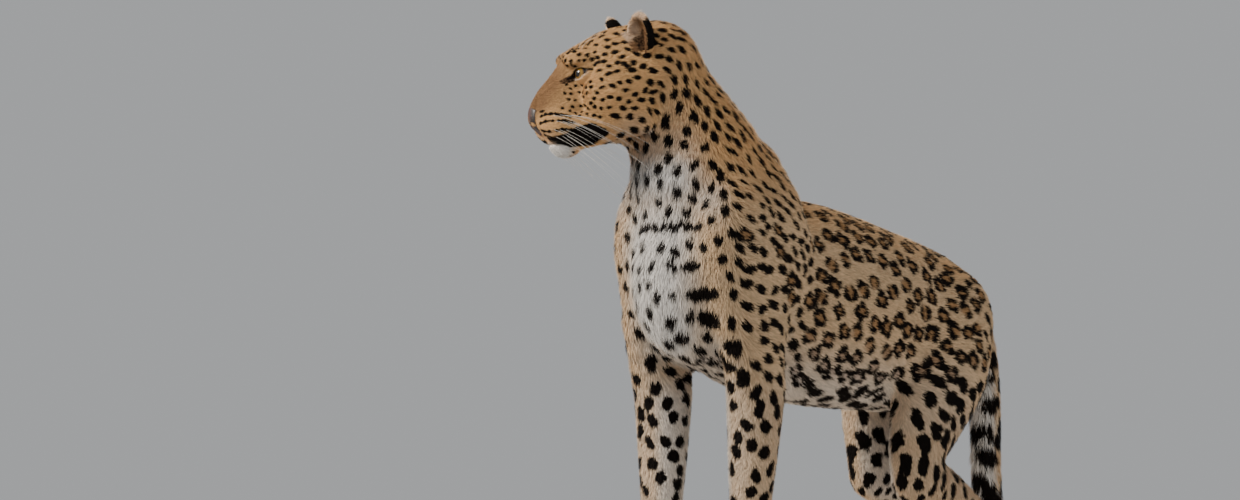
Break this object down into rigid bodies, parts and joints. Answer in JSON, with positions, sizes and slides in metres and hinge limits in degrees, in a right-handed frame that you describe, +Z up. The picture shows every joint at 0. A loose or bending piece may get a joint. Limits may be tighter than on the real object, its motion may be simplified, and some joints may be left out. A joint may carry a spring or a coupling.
{
  "type": "leopard",
  "caption": "Standing spotted big cat, life-size museum model, head held high and turned to its right, tail hanging behind the hind legs.",
  "frame": {"origin": "on the floor, under the middle of the bounding box", "axes": "+Z up, the animal faces -Y, its left side is +X, the tail sweeps towards +Y"},
  "size_m": [0.3034, 1.273, 0.9576],
  "materials": {
    "coat": "short tawny fur, white below, with near-black spots and rosettes",
    "nose_leather": "bare, finely pebbled, slightly moist skin",
    "eye": "clear wet gloss over an amber iris with a round black pupil",
    "whisker": "stiff pale single hairs",
    "claw": "smooth horn"
  },
  "bodies": {
    "root": {"head": "coat", "neck": "coat", "chest": "coat", "loins": "coat", "rump": "coat", "foreleg_left_upper": "coat", "foreleg_left_forearm": "coat", "foreleg_left_paw": "coat", "foreleg_right_upper": "coat", "foreleg_right_forearm": "coat", "foreleg_right_paw": "coat", "hindleg_left_thigh": "coat", "hindleg_left_shin": "coat", "hindleg_left_foot": "coat", "hindleg_right_thigh": "coat", "hindleg_right_shin": "coat", "hindleg_right_foot": "coat", "tail_root": "coat", "tail_middle": "coat", "tail_sweep": "coat", "tail_tip": "coat", "ear_left": "coat", "ear_right": "coat", "nose": "nose_leather", "eye_left": "eye", "eye_right": "eye"}
  },
  "joints": []
}
